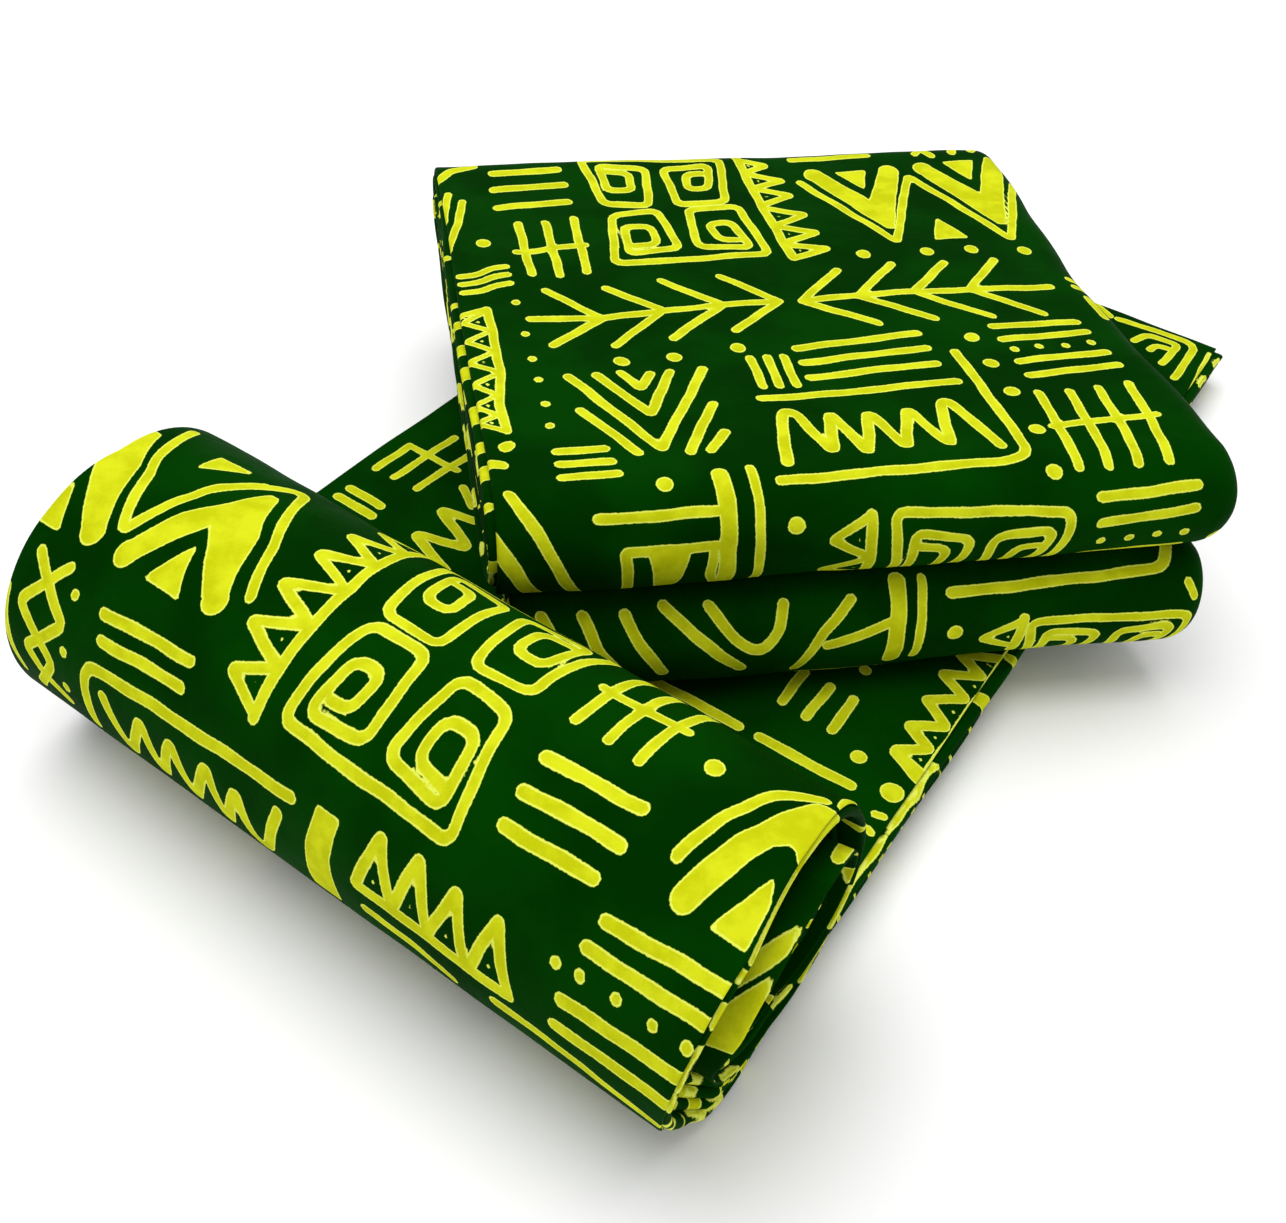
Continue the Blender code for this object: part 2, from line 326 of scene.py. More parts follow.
# The upper bundle: over its top from the back, and down its front fold
STACK_SIGNS = gather(
    bars((27, 9, 60, 10), (27, 37, 59, 35), (26, 54, 60, 51), (26, 73, 60, 69), width=4.5),
    comb(((34, 90), (46.5, 90), (60, 87)), ((34.5, 138), (47, 139), (59.5, 138)), ((30, 117), (62, 113))),
    squares(71, 141, 76, 24), squares(73, 146, 81, 131),
    teeth(((149, 22), (151, 75), (155, 132)),
        ((162, 37, 7.5), (167, 54, 8), (168, 71, 9), (170, 92, 9.5), (172, 110, 8), (173, 126, 6.5))),
    stroke((175, 57), (207, 123), (230.5, 54), (263, 123), (283, 62), width=THIN_LINE, bend=3.5),
    heavy_v((183.5, 50), (222.5, 48), (205, 81), (207.5, 108), 4.9),
    heavy_v((240, 47), (278.5, 40), (262, 77), (263, 107), 5.0), patch((195.5, 48.5), (210, 47), (205, 66)),
    patch((252, 41.5), (267, 40), (261.5, 60)), patch((233, 101), (241.5, 120), (226, 121)),
    bars((179, 14, 218, 16), (176, 31, 215, 29)), stroke((238, 8), (248, 33)),
    stroke((256, 9), (240, 30), width=3.8), stroke((265, 14), (259, 30)), stroke((275, 18), (270, 27)),
    dots((188, 133), (218, 133), (240, 132.5), (265, 134)),
    arrow(((29, 175), (61, 177), (110, 171), (139, 170)), ((139, 170), (114, 171), (87, 173), (60, 177)),
        (((118, 146), (114, 193)), ((91, 147), (87, 196)), ((65, 153), (62, 199)), ((39, 153), (36, 197)))),
    arrow(((149, 171), (201, 168), (264, 169)), ((149, 171), (175, 170), (201, 168), (227, 168)),
        (((172, 146), (177, 193)), ((198, 143), (203, 191)), ((223, 144), (228, 192)),
        ((247, 143), (252, 192)))),
    stroke((10.5, 66), (6, 88), (0, 112), width=3.8), stroke((4, 58), (0, 84), width=3.8),
    stroke((2, 5), (8, 11), (19, 15), width=4.6), stroke((19, 27), (8, 31), (1, 42), width=4.6),
    dots((16, 108)),
    *(stroke((3, 137 + drop), (11, 136 + drop), (17, 132 + drop), (24, 131 + drop), width=3.6)
        for drop in (0.0, 7.0, 14.5)),
    dots((25, 161), (26, 187), (26, 206), (27, 221), (27, 239), (27, 254), radius=SMALL_DOT),
    stroke((-4, 171.5), (5, 168.5), (12, 166.3), width=3.4),
    teeth(((12, 166), (12.4, 195), (12.2, 215), (9.4, 240), (10.2, 255.5)),
        ((0.6, 176, 8), (0.4, 191, 8), (0, 207, 8), (0, 223, 8), (-1, 238, 7.5), (-1, 250, 6)), width=2.9,
        eye=0.95, back=4.0, deep=0.55),
    dots((9.5, 264.5)), stroke((-6, 277), (6, 276), width=5.5), dots((62, 212), (84, 211), (112, 207)),
    stroke((60, 221), (66, 233), (72, 222), bend=1.5), stroke((50, 222), (66.5, 251), (80, 222), bend=1.5),
    stroke((39, 221), (66, 274), (94, 221), bend=1.5),
    bars((40, 245, 57, 276), (92, 247, 76, 277), (92, 266, 84, 277)),
    bars((27, 271, 45, 272), (27, 279, 46, 280), (27, 287.5, 47, 287.5), width=4.5),
    bars((115, 215, 115, 236), (122, 215, 122, 236), (129, 215, 129, 236), width=4.0),
    bars((136, 209, 191, 202), (136, 220, 191, 214), (136, 231, 191, 226), (112, 245, 194, 240), width=4.4),
    stroke((110, 288), (117, 255), (122, 255), (129, 284), (136, 256), (142, 286), (151, 257), (158, 284),
        (167, 256), (175, 284), (182, 254), (186, 254), (194, 285), width=4.8, bend=5.0),
    stroke((105, 297), (195, 294), (203, 291), (203, 280), (202, 218), bend=6.0),
    dots((213, 208), (213, 229), (213, 251), (212, 277), (209, 301)),
    bars((225, 201, 263, 200), (225, 212, 264, 209), (225, 229, 265, 226), (225, 240, 265, 236)),
    dots((227, 220), (238, 219), (250, 219), (262, 218), radius=SMALL_DOT),
    comb(((223, 253), (236, 253), (249, 252), (263, 250)), ((219, 300), (231, 300), (243, 300), (255, 300)),
        ((219, 276), (263, 273))),
    dots((63, 295), (109, 314)), bars((37, 307, 84, 306.5)), bars((84, 292, 84, 346), width=6.6),
    bars((95.5, 290, 96, 346), width=3.8), stroke((51, 366), (46, 320), (84, 320), bend=2.0),
    stroke((79, 322), (78, 333), (82, 348), width=4.0),
    patch((55, 320), (69.5, 320), (67, 334), (64, 346), (60, 346), (58, 334), soft=0.9),
    stroke((7, 294), (22, 324), (30, 346), width=4.8), stroke((-3, 308), (8, 328), (15, 346), width=6.0),
    teeth(((137, 312), (139, 350)), ((122, 321, 9), (121, 339, 8))), squares(146, 215, 362, 312),
    bars((226, 312, 264, 310), (226, 322, 264, 319), (226, 343, 264, 341), (226, 353, 264, 352)),
    dots((228.5, 331), (240, 331), (251, 330), (262, 330), radius=SMALL_DOT),
    bars((276, 162, 284, 162), (276, 170, 284, 170)), stroke((278, 180), (278, 196)),
    stroke((277, 336), (284, 345), width=6.0),
)

# The roll's outside, x from the band's right edge and y along it, from the floor up over the front
ROLL_SIGNS = gather(
    bars((-9, 572.5, 41, 572), (-9, 583.5, 40, 582), width=4.8),
    bars((-9, 600.4, 37, 599), (-9, 610, 35, 607.5)),
    dots((10.5, 592), (23.5, 592), (36, 591.5), (44.5, 591), radius=SMALL_DOT),
    stroke((4, 557), (30, 561), (64, 563)), stroke((82, 557), (96, 562), (117, 563)),
    teeth(((60, 570), (120, 573)), ((66, 592, 7.5), (82.5, 592, 8), (97.5, 594, 7.5), (112.5, 593, 7.5)),
        width=4.4),
    patch((131, 556), (141, 556), (141, 574), (138, 589), (130, 589), (132, 575), soft=1.2),
    stroke((155.5, 578), (162, 556), (168, 556), (174.5, 576), (181, 556), (188, 578), (197, 556), (206, 577),
        (213, 556), (221.5, 577), (229, 556), (232, 560), (240, 575), width=4.8, bend=5.0),
    stroke((150, 586.5), (242, 584), (249.5, 582), (249, 558), width=4.6, bend=7.0),
    bars((205, 595.5, 244.5, 593.5), (205, 604, 247, 601.5), width=THIN_LINE),
    stroke((277, 560), (267, 574), (285, 590), (269, 607)),
    stroke((262, 561), (272, 566), (281, 575), (263, 590), (284, 607)),
    dots((260.5, 568), (261, 582), (261.5, 601), radius=SMALL_DOT),
    stroke((286, 562), (290, 572), (292, 592), width=2.6), squares(90, 163, 641, 602),
    squares(91, 164, 646, 690),
    teeth(((173, 601), (172, 625), (176, 672), (176, 692)),
        ((189, 609, 7), (193, 623, 7), (194, 637, 7.5), (195, 653, 7.5), (195, 667, 7), (195, 682, 7))),
    stroke((199, 628), (212, 650), (226, 676), (250, 654), (254, 640), (260, 624), (276, 650), (285, 674),
        width=THIN_LINE, bend=5.0),
    stroke((238, 666), (250, 653), (254.2, 639), (259.2, 627), width=4.2),
    heavy_v((209.5, 622), (252, 620), (235, 642), (229, 663), 4.8),
    patch((254.8, 621), (246.2, 640), (230.4, 662.5), (240, 640), soft=0.9),
    heavy_v((270, 620), (318, 618), (294, 641), (290, 662), 5.0), patch((223, 617), (238, 617), (231.5, 632)),
    patch((283, 615), (298, 615), (291, 629)), patch((262, 659), (262, 668), (248, 669), soft=0.9),
    bars((44, 614.5, 77, 613.5), (41.5, 625, 77.5, 623.5), (42.5, 636, 77.5, 634), width=4.4),
    comb(((53.5, 648), (66, 649), (79, 649)), ((51, 692), (64, 693), (76, 693)), ((48.5, 666), (81, 665.5))),
    dots((33.5, 659.3)), stroke((25.6, 630), (20, 649), (13.5, 662), (2, 672), width=4.3),
    stroke((17.3, 622.5), (11, 640), (4, 655), (-0.5, 665), width=9.0),
    patch((-5.4, 620.2), (5.8, 620.2), (-2, 637), (-5, 631)),
    patch((5.5, 652), (3, 663), (0, 668.5), (-7, 669), (-8, 647), (-5.2, 645.4), (-3.2, 648.6), (-0.4, 650),
        (4, 646)),
    dots((-1.5, 592.4), radius=2.2), stroke((-3.0, 673.5), (-1.8, 680), (-3.2, 690), width=3.2),
    # Round the back, where the photo shows nothing
    arrow(((30, 732), (140, 730)), ((140, 730), (112, 730), (84, 731), (56, 731)),
        (((118, 713), (118, 748)), ((90, 713), (90, 749)), ((62, 714), (62, 749)), ((36, 714), (36, 749)))),
    arrow(((152, 730), (262, 731)), ((152, 730), (178, 730), (204, 731), (230, 731)),
        (((174, 713), (174, 748)), ((200, 713), (200, 749)), ((226, 714), (226, 749)),
        ((252, 714), (252, 749)))),
    dots((276, 716), (276, 732), (276, 748), (14, 714), (14, 732), (14, 750)),
    bars((30, 762, 100, 761), (30, 773, 100, 772), (112, 762, 190, 761), (200, 768, 262, 768)),
    shifted(bars((0, 0, 44, 0), (0, 10, 44, 10)), 20, 505),
    stroke((90, 510), (98, 494), (108, 510), (117, 494), (126, 510), (136, 494), (146, 510)),
    bars((20, 530, 80, 530), (96, 528, 170, 530), (190, 520, 190, 545), (200, 520, 200, 545),
        (210, 520, 270, 522), (212, 534, 270, 536)),
)

# The edge of the roll's second wrap, which has slid out at the right end
WRAP_SIGNS = gather(
    patch((-2.4, 841), (9, 838), (16, 836), (16, 838), (9, 848), (1, 860.5), (-2, 852)),
    patch((16, 843.5), (16, 853), (0.8, 873), (0.8, 866)),
    stroke((3, 896), (4.6, 911), (6.5, 926), width=5.0),
    bars((-4, 782, 16, 780), (-4, 762, 18, 764), width=6.0),
    bars((-4, 955, 16, 957), (-4, 975, 16, 972), (-4, 996, 16, 1000), width=6.0),
)

# The band's upper face beside the stack and behind it, x from its right edge and y from its back end
STRIP_SIGNS = gather(
    stroke((1, 284), (17.6, 293), (4.6, 299), (18.2, 307.3), (4.8, 315), (17.7, 325), (5, 333), (17, 341.5),
        (5, 347.5), (16, 356), (1, 361), width=5.0, bend=1.6),
    stroke((2.3, 268), (2.3, 364), width=1.2), stroke((14.6, 356.5), (8, 360), (3, 363), width=6.4),
    dots((5.2, 291), (5.2, 306), (5.8, 324.3), (6.4, 341), (5.9, 354.4), radius=0.9),
    dots((7.6, 375.6), radius=4.6), dots((44.3, 326), radius=2.6), dots((25.5, 368)),
    bars((41, 343, 40, 363), (51.5, 343, 51.5, 363), (63.7, 343, 63, 362), width=4.5),
    bars((21.5, 382.5, 60.5, 384), (70, 384, 111, 385.5), width=5.0),
    bars((4.8, 387.6, 8.2, 388.6), (5.6, 397, 7.4, 396), width=3.4),
    stroke((224, 356), (242, 360), (215, 372), (240, 380), (212, 390), (231, 396), width=5.0, bend=4.0),
    stroke((231.5, 349), (243, 342), width=4.2),
    bars((263.5, 375.5, 282, 375), (262, 383, 282, 383), (261, 391, 281, 390.5), width=5.0),
    comb(((256, 322), (270, 316), (282, 334)), ((259, 356), (272, 356), (282.5, 357)),
        ((253, 334), (281, 334))),
    stroke((11.5, 42), (11.5, 6), (24, 4.5), (55, 8), bend=8.0),
    stroke((21.5, 33), (19.5, 11), (37, 12), (41, 22), bend=4.0), stroke((21.5, 18), (30, 19), (31, 25)),
    stroke((4, 8), (3, 20), (1, 48), width=2.4), bars((60, 8, 78, -2)), stroke((41, 49), (58, 73), (76, 88)),
    stroke((50, 43), (68, 63), (86.5, 81)), stroke((65, 31), (84, 52), (100, 68)),
    stroke((74, 25), (90.5, 42), (110, 60)), dots((60, 40), (70, 51), (80, 62), (90.5, 72), radius=2.4),
    dots((95, 90.5), (113, 75), radius=4.0),
    arrow(((92, 30), (200, 104)), ((134, 34), (160, 56), (182, 80), (204, 102)),
        (((92, 30), (138, 4)), ((114, 52), (160, 18)), ((138, 74), (184, 38)), ((160, 98), (206, 64)))),
    teeth(((228, 62), (290, 10)), ((228, 40, 9), (246, 26, 9), (264, 12, 9))),
    stroke((118, 92), (54, 150), (60, 160), (138, 240)),
    stroke((68, 148), (104, 134), (86, 164), (116, 152), (98, 180), (130, 168), (114, 198), (148, 182),
        (128, 208), (162, 196), (142, 230)),
    bars((104, 116, 178, 194), (120, 106, 170, 162), (132, 98, 180, 152), (144, 90, 190, 144)),
    arrow(((216, 110), (290, 186)), ((216, 110), (242, 134), (264, 160), (286, 184)),
        (((222, 152), (258, 108)), ((244, 178), (282, 132)), ((264, 204), (300, 158)),
        ((288, 226), (320, 180)))),
)

# The lower bundle's front fold
LOWER_SIGNS = gather(
    stroke((17, 300), (27, 328), width=4.8), stroke((32, 301), (37, 315), (46, 328), width=4.8),
    stroke((48, 301), (52, 312), (62, 328), width=4.8), stroke((63, 299), (74, 312), (92, 328), width=4.8),
    stroke((80, 300), (87, 312), (98, 321), (106, 314), (108.5, 302), width=4.6, bend=6.0),
    bars((154, 296, 152, 330), width=6.8), bars((164, 296, 161, 330), width=3.9),
    stroke((175, 303), (262, 300), (267, 290), width=4.6, bend=4.0), dots((176, 319)),
    teeth(((204, 315), (203, 336)), ((188, 324, 8),)), squares(207, 275, 352, 317),
    stroke((114, 332), (124, 313), (135, 302)), stroke((125, 320), (152, 312)),
    stroke((272, 306), (275, 312), width=4.0), stroke((118, 340), (150, 341)),
)

# A row of signs round a bundle's back fold, which the photo doesn't show
BACK_SIGNS = gather(
    bars((18, 0, 58, -1), (18, 11, 58, 10), (18, -12, 58, -12)), squares(70, 138, 2, 42),
    squares(70, 138, -3, -44),
    teeth(((148, -34), (148, 38)), ((163, -27, 7), (165, -11, 7), (165, 5, 7), (164, 21, 7))),
    stroke((176, 14), (185, -8), (194, 14), (203, -8), (212, 14), (221, -8), (230, 14)),
    bars((176, 26, 232, 25), (176, -20, 232, -21)), dots((246, -16), (246, 0), (246, 16), (246, 30)),
    bars((258, -22, 258, 22), (268, -22, 268, 22)),
)

# The first ply under the upper bundle's open edge, x in from its rim and y along the cloth
SIDE_SIGNS = gather(
    bars((-4, 60, 5, 57), (-4, 112, 5, 114), (-4, 300, 12, 292)), bars((-4, 326, 12, 323), width=6.5),
    *(bars((-6, along + 2, 14, along - 3), width=width) for along, width in (
        (155, 4.0), (171, 6.0), (191, 8.0), (209, 9.0), (239, 12.0), (261, 7.0), (277, 8.5))),
)


def rim_signs(number):
    """The next plies under the upper bundle's open edge: slivers where signs just reach the fold."""
    signs = bars((-3, 305 + 5 * number, 5, 304 + 5 * number), (-3, 330 - number, 4, 329 - number), width=4.5)
    for start, stop in ((152, 163), (176, 184), (199, 214), (222, 236), (243, 262), (268, 298)):
        if math.sin(2.3 * start + number) > -0.3:
            signs += stroke((0.2, start + 3 * number), (0.6, 0.5 * (start + stop)), (0.3, stop + 2 * number),
                            width=0.9)
    return signs


def edge_signs(seed, length):
    """Marks at a ply's rim, as printed cloth shows at its folds: slivers, short crossings and dots."""
    signs, at, step = [], 6.0, 0
    while at < length:
        kind, chance = math.sin(12.9 * step + 4.1 * seed), 0.5 + 0.5 * math.sin(7.3 * step + 2.3 * seed)
        if kind > 0.45:
            signs += bars((-4, at - 4 * chance, 12, at + 5 * chance - 2), width=2.6 + 3.5 * chance)
        elif kind > -0.55:
            signs += stroke((0.6, at), (1.4, at + 5 + 6 * chance), (0.8, at + 8 + 12 * chance),
                            width=1.6 + chance)
            at += 6 + 12 * chance
        else:
            signs += dots((1.6 + chance, at), radius=1.6 + 1.2 * chance)
        at += 14.0 + 24.0 * (0.5 + 0.5 * math.sin(3.1 * step + 5.7 * seed))
        step += 1
    return signs


# Marks that show at the rims of the band's plies, by the ply's number
RIBBON_PHASES = (0, 5, 1, 7, 3, 0)
RIBBON_MARKS = {
    1: gather(
        stroke((0.4, 577), (1.2, 584), (0.4, 593), width=2.0), stroke((0.3, 599), (0.6, 606), width=2.2),
        bars((-2, 614, 5, 614.5), width=4.0), stroke((0.0, 618), (0.2, 631), (0.6, 645), width=1.5),
        stroke((0.6, 645), (1.2, 656), (0.9, 670), width=3.2),
        dots((1.6, 850), (1.6, 862), (1.3, 871), (1.0, 884), radius=2.0),
    ),
    3: gather(dots((1.4, 841), radius=2.4), bars((-3, 868, 6, 869), (-3, 882, 6, 881))),
    4: gather(
        stroke((1.0, 351), (2.4, 358), (1.2, 371), (2.2, 377), (1.6, 386), (2.6, 393), (1.7, 404), (2.6, 414),
               (1.6, 425), (2.5, 441), (1.4, 452), (2.4, 463), (1.5, 484), width=2.1, bend=3.0),
        bars((-3, 279.5, 6, 280), width=5.0), bars((-3, 309, 5, 309), width=7.5),
    ),
}
RIBBON_BARS = (287, 308, 320, 339, 349, 362, 371, 381, 391, 398, 408, 419, 431, 442, 453, 463, 474, 484)


def ribbon_signs(number, seed, length):
    """Marks at the right rim of one of the band's plies, counted from the floor side."""
    signs = [sign for sign in edge_signs(seed + 3 * number, length) if not 270 < sign[1][0, 1] < 700]
    along, step = 490.0 + RIBBON_PHASES[number], 0
    while along < 568:
        size = 2.2 + 1.8 * (1.0 + math.sin(5.3 * step + 2.1 * number))
        if math.sin(3.7 * step + 1.9 * number) > 0.3:
            signs += bars((-3, along, 7, along + 2.0 * math.sin(step)), width=size)
        else:
            signs += stroke((0.4, along), (1.3, along + 2.0 * size), width=1.9)
        along += size + 4.5 + 3.0 * (1.0 + math.sin(2.9 * step + number))
        step += 1
    signs += RIBBON_MARKS.get(number, [])
    if number in (2, 3):
        for along in RIBBON_BARS:
            signs += bars((-3, along + 4 * (number - 3), 4, along + 1), width=3.2 + math.sin(along))
    return signs


def print_fields(signs, x, y, squeeze=None, wobble=0.22, margin=4.0):
    """Distance in millimetres to the nearest sign, below 0 inside, for the odd and the even signs.

    Each sign wobbles a little, as one drawn by hand does."""
    x, y = np.asarray(x, float).ravel(), np.asarray(y, float).ravel()
    x = x + wobble * (np.sin(0.19 * y + 0.11 * x) + 0.5 * np.sin(0.41 * y - 0.23 * x + 1.7))
    y = y + wobble * (np.sin(0.17 * x - 0.12 * y + 0.8) + 0.5 * np.sin(0.37 * x + 0.29 * y))
    fields = np.full((2, len(x)), FAR)
    for order, (kind, points, half) in enumerate(signs):
        ratio = squeeze(points[:, 1].mean()) if squeeze else 1.0
        left, low = points.min(0) - half - FAR
        right, high = points.max(0) + half + FAR
        close = np.nonzero((x > left) & (x < right) & (y > low - margin) & (y < high + margin))[0]
        if not len(close):
            continue
        px, py, corners = x[close], y[close] * ratio, points * (1.0, ratio)
        best = np.full(len(close), np.inf)
        ends = corners[1:] if kind == "stroke" else np.roll(corners, -1, 0)
        inside = np.zeros(len(close), bool)
        for (ax, ay), (bx, by) in zip(corners, ends):
            dx, dy = bx - ax, by - ay
            share = np.clip(((px - ax) * dx + (py - ay) * dy) / max(dx * dx + dy * dy, 1e-9), 0.0, 1.0)
            best = np.minimum(best, np.hypot(px - ax - share * dx, py - ay - share * dy))
            if kind == "patch" and ay != by:
                inside ^= ((ay > py) != (by > py)) & (px < ax + (py - ay) * dx / dy)
        best = np.where(inside, -best, best) - half
        fields[order % 2, close] = np.minimum(fields[order % 2, close], best)
    return fields


def stack_squeeze(along):
    """The signs on the stack are drawn out along the cloth, most of all at the back."""
    return 0.70 + 0.30 * min(max((along - 40.0) / 230.0, 0.0), 1.0)


# Shells
PLY = 0.0034            # height of one folded ply at a bundle's edge
PLY_GAP = 0.0003        # between two plies
CLOTH = 0.0026          # thickness of a cover, which is a few layers of cotton
FINE = 0.0015           # grid on the faces that show
FAIR = 0.0021           # grid where they are further off
WIDE = 0.02             # grid on hidden faces
OPEN_PLIES = 4
FOLDED_PLIES = 3
INNER_FOLDS = 3
PLY_DEPTH = 0.026       # how far in the plies at the edges reach
PLY_GRID = 0.012


def spread(start, stop, step):
    """Evenly spaced values from start up to stop, stop left out."""
    return np.linspace(start, stop, max(int(round(abs(stop - start) / step)), 1) + 1)[:-1]


def near(distance, reach):
    """1 at no distance, down to 0 at reach."""
    return np.clip(1.0 - distance / reach, 0.0, 1.0)


def ripple(along, *waves):
    """The sum of waves, each given as height, pitch and phase."""
    return sum(height * np.sin(pitch * along + phase) for height, pitch, phase in waves)


def bead_angles(start, steps):
    """Angles between two ends of a half turn, its ends left out."""
    return np.linspace(start * math.pi, (start + 1.0) * math.pi, steps + 2)[1:-1]


def slot_section(left, right, low, high, fine_low=WIDE, fine_high=WIDE, bead=5, radius=None):
    """Closed section of a flat ply with round edges: rows of across and level, the low face first."""
    half, middle = 0.5 * (high - low), 0.5 * (low + high)
    radius = radius or abs(half)
    start, stop = left + radius, right - radius
    rows = [(across, low) for across in np.append(spread(start, stop, fine_low), stop)]
    for angle in bead_angles(-0.5, bead):
        rows.append((stop + radius * math.cos(angle), middle + half * math.sin(angle)))
    rows += [(across, high) for across in np.append(spread(stop, start, fine_high), start)]
    for angle in bead_angles(0.5, bead):
        rows.append((start + radius * math.cos(angle), middle + half * math.sin(angle)))
    return np.array(rows)


def sweep_faces(rows, columns, ring):
    """Quads of a swept closed section; ring closes the sweep on itself."""
    i = np.arange(rows if ring else rows - 1)[:, None]
    j = np.arange(columns)[None, :]
    after_i, after_j = (i + 1) % rows, (j + 1) % columns
    quads = (i * columns + j, after_i * columns + j, after_i * columns + after_j, i * columns + after_j)
    return np.stack(quads, -1).reshape(-1, 4)


def volume(points, quads):
    """Signed volume inside closed quads, their caps left out, about the points' own middle."""
    a, b, c, d = (points[quads[:, k]] - points.mean(0) for k in range(4))
    return float((a * (np.cross(b, c) + np.cross(c, d))).sum())


class Cloth:
    """Gathers the swept parts of one piece, with the print's place on each of their points."""

    def __init__(self):
        self.points, self.faces, self.place, self.fields = [], [], [], []
        self.count = 0

    def add(self, points, ring, place, fields):
        rows, columns = points.shape[:2]
        quads = sweep_faces(rows, columns, ring)
        faces = quads.tolist()
        if not ring:
            faces.append(list(range(columns)))
            faces.append(list(range(rows * columns - 1, (rows - 1) * columns - 1, -1)))
        flat = points.reshape(-1, 3)
        if volume(flat, quads) < 0.0:
            faces = [face[::-1] for face in faces]
        self.faces += [[corner + self.count for corner in face] for face in faces]
        self.points.append(flat)
        self.place.append(np.stack([np.broadcast_to(p, (rows, columns)).ravel() for p in place], -1))
        self.fields.append(fields)
        self.count += rows * columns

    def piece(self, name, material, node):
        mesh = bpy.data.meshes.new(name)
        mesh.from_pydata(np.concatenate(self.points).tolist(), [], self.faces)
        for kind, pair in (("print_distance", np.concatenate(self.fields, 1).T),
                           ("cloth_place", np.concatenate(self.place))):
            values = np.column_stack((pair, 0 * pair[:, 0]))
            mesh.attributes.new(kind, "FLOAT_VECTOR", "POINT").data.foreach_set("vector", values.ravel())
        mesh.polygons.foreach_set("use_smooth", [True] * len(mesh.polygons))
        mesh.materials.append(material)
        piece = bpy.data.objects.new(name, mesh)
        bpy.context.scene.collection.objects.link(piece)
        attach(piece, "root")
        return piece


def chart_place(across, along):
    """Metres on the cloth as millimetres on the chart, for each point of a sweep."""
    return np.broadcast_arrays(MM * across + 0.0 * along, MM * along + 0.0 * across)


def unevenness(across, along, seed=0.0):
    """Soft hollows and ridges of laid cloth, in metres out from its form."""
    a, b = 38.0 * across + seed, 31.0 * along + 1.7 * seed
    broad = np.sin(a + 0.8 * np.sin(b)) * np.cos(0.83 * b + 0.4)
    middle = np.sin(2.3 * a - 1.3 * b + 2.0) * np.sin(1.9 * b + 0.6 * a)
    small = np.sin(5.1 * a + 2.2 * b + seed) * np.sin(4.3 * b - 1.2 * a)
    return 0.00055 * broad + 0.00028 * middle + 0.00010 * small


def creases(name, across, along):
    """Soft troughs, or ridges where the depth is negative, each along a line on the cloth."""
    rise = 0.0
    for ((ax, ay), (bx, by)), depth, width in CREASES[name]:
        dx, dy = bx - ax, by - ay
        share = np.clip(((across - ax) * dx + (along - ay) * dy) / (dx * dx + dy * dy), 0.0, 1.0)
        away = np.hypot(across - ax - share * dx, along - ay - share * dy)
        rise = rise - depth * np.exp(-(away / width) ** 2)
    return rise


# Creases placed one by one: ends in metres on the cloth, depth, width
CREASES = {
    "upper_bundle": (
        (((0.020, 0.060), (0.075, 0.230)), 0.0006, 0.007),
        (((0.150, 0.300), (0.265, 0.285)), 0.0006, 0.006),
        (((0.007, 0.262), (0.011, 0.322)), 0.0014, 0.004),
        (((0.040, 0.312), (0.120, 0.330)), 0.0010, 0.006),
        (((0.200, 0.325), (0.262, 0.310)), -0.0008, 0.006),
    ),
    "lower_bundle": (
        (((0.020, 0.300), (0.120, 0.318)), 0.0010, 0.006),
        (((0.160, 0.322), (0.260, 0.305)), -0.0008, 0.006),
    ),
    "roll": (
        (((0.010, 0.580), (0.080, 0.660)), 0.0009, 0.009),
        (((0.150, 0.575), (0.230, 0.600)), 0.0008, 0.008),
        (((0.220, 0.640), (0.285, 0.620)), 0.0010, 0.008),
    ),
}
# Right end of a cover: a fat fold that turns back inside; columns: inset, depth from the end
FOLDED_END = np.array((
    (0.0000, 0.0110), (0.0002, 0.0094), (0.0006, 0.0078), (0.0012, 0.0062), (0.0020, 0.0047),
    (0.0030, 0.0033), (0.0042, 0.0020), (0.0055, 0.0010), (0.0068, 0.0003), (0.0080, 0.0003),
    (0.0091, 0.0010), (0.0099, 0.0022), (0.0104, 0.0038), (0.0106, 0.0060), (0.0106, 0.0120),
    (0.0105, 0.0230), (0.0094, 0.0240), (0.0082, 0.0230), (0.0082, 0.0120), (0.0081, 0.0070),
    (0.0076, 0.0048), (0.0066, 0.0038), (0.0052, 0.0042), (0.0040, 0.0056), (0.0031, 0.0078),
    (0.0026, 0.0110),
))
FOLD_START = 0.0110     # the folded end's first place in from the right
FOLD_STOP = 0.0120      # and where the inside goes on
FOLD_HEIGHT = 0.0110    # how deep under the outside the fold reaches
UNPRINTED = 0.0115      # deeper than this the cover carries no print


def cover_section(left, right):
    """Closed section of a bundle's cover: rows of across and inset, the outside first."""
    rim = 0.5 * CLOTH
    rows = [(across, 0.0) for across in spread(left + rim, right - FOLD_START, FINE)]
    rows += [(right - depth, inset) for inset, depth in FOLDED_END]
    rows += [(across, CLOTH) for across in spread(right - FOLD_STOP, left + rim, WIDE)]
    rows.append((left + rim, CLOTH))
    for angle in bead_angles(0.5, 5):
        rows.append((left + rim + rim * math.cos(angle), rim + rim * math.sin(angle)))
    return np.array(rows)


def ply_section(left, low):
    """One short ply at a bundle's edge, as a row of across and one of inset."""
    return slot_section(left, left + PLY_DEPTH, low, low + PLY - PLY_GAP, PLY_GRID, PLY_GRID).T[:, None]


def loop_rows(total, spans):
    """Places round a bundle's outline, as a column; spans are start, stop, step."""
    return np.concatenate([spread(start * total, stop * total, step) for start, stop, step in spans])[:, None]


